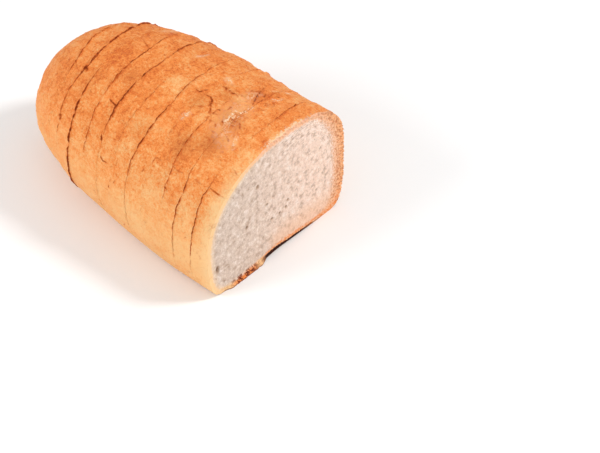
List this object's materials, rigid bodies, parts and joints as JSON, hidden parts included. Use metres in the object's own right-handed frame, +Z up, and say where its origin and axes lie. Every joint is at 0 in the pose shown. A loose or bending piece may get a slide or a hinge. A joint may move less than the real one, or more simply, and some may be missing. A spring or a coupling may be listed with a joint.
{
  "type": "sliced white loaf",
  "caption": "Sliced white loaf with a golden domed crust, a rounded heel at one end and an open cut face at the other, its slices standing together.",
  "frame": {"origin": "middle of the loaf's box on the level that it stands on", "axes": "+X along the loaf from the heel out of the open cut face, +Y across it, +Z up from the flat foot to the crown"},
  "size_m": [0.1976, 0.1272, 0.0996],
  "materials": {
    "slice": "matt baked crust round a soft, pale, open crumb",
    "crust": "matt golden-orange baked crust, finely wrinkled"
  },
  "bodies": {
    "root": {"slice_01": "slice", "slice_02": "slice", "slice_03": "slice", "slice_04": "slice", "slice_05": "slice", "slice_06": "slice", "slice_07": "slice", "slice_08": "slice", "slice_09": "slice", "slice_10": "slice", "slice_11": "slice", "heel": "crust"}
  },
  "joints": []
}
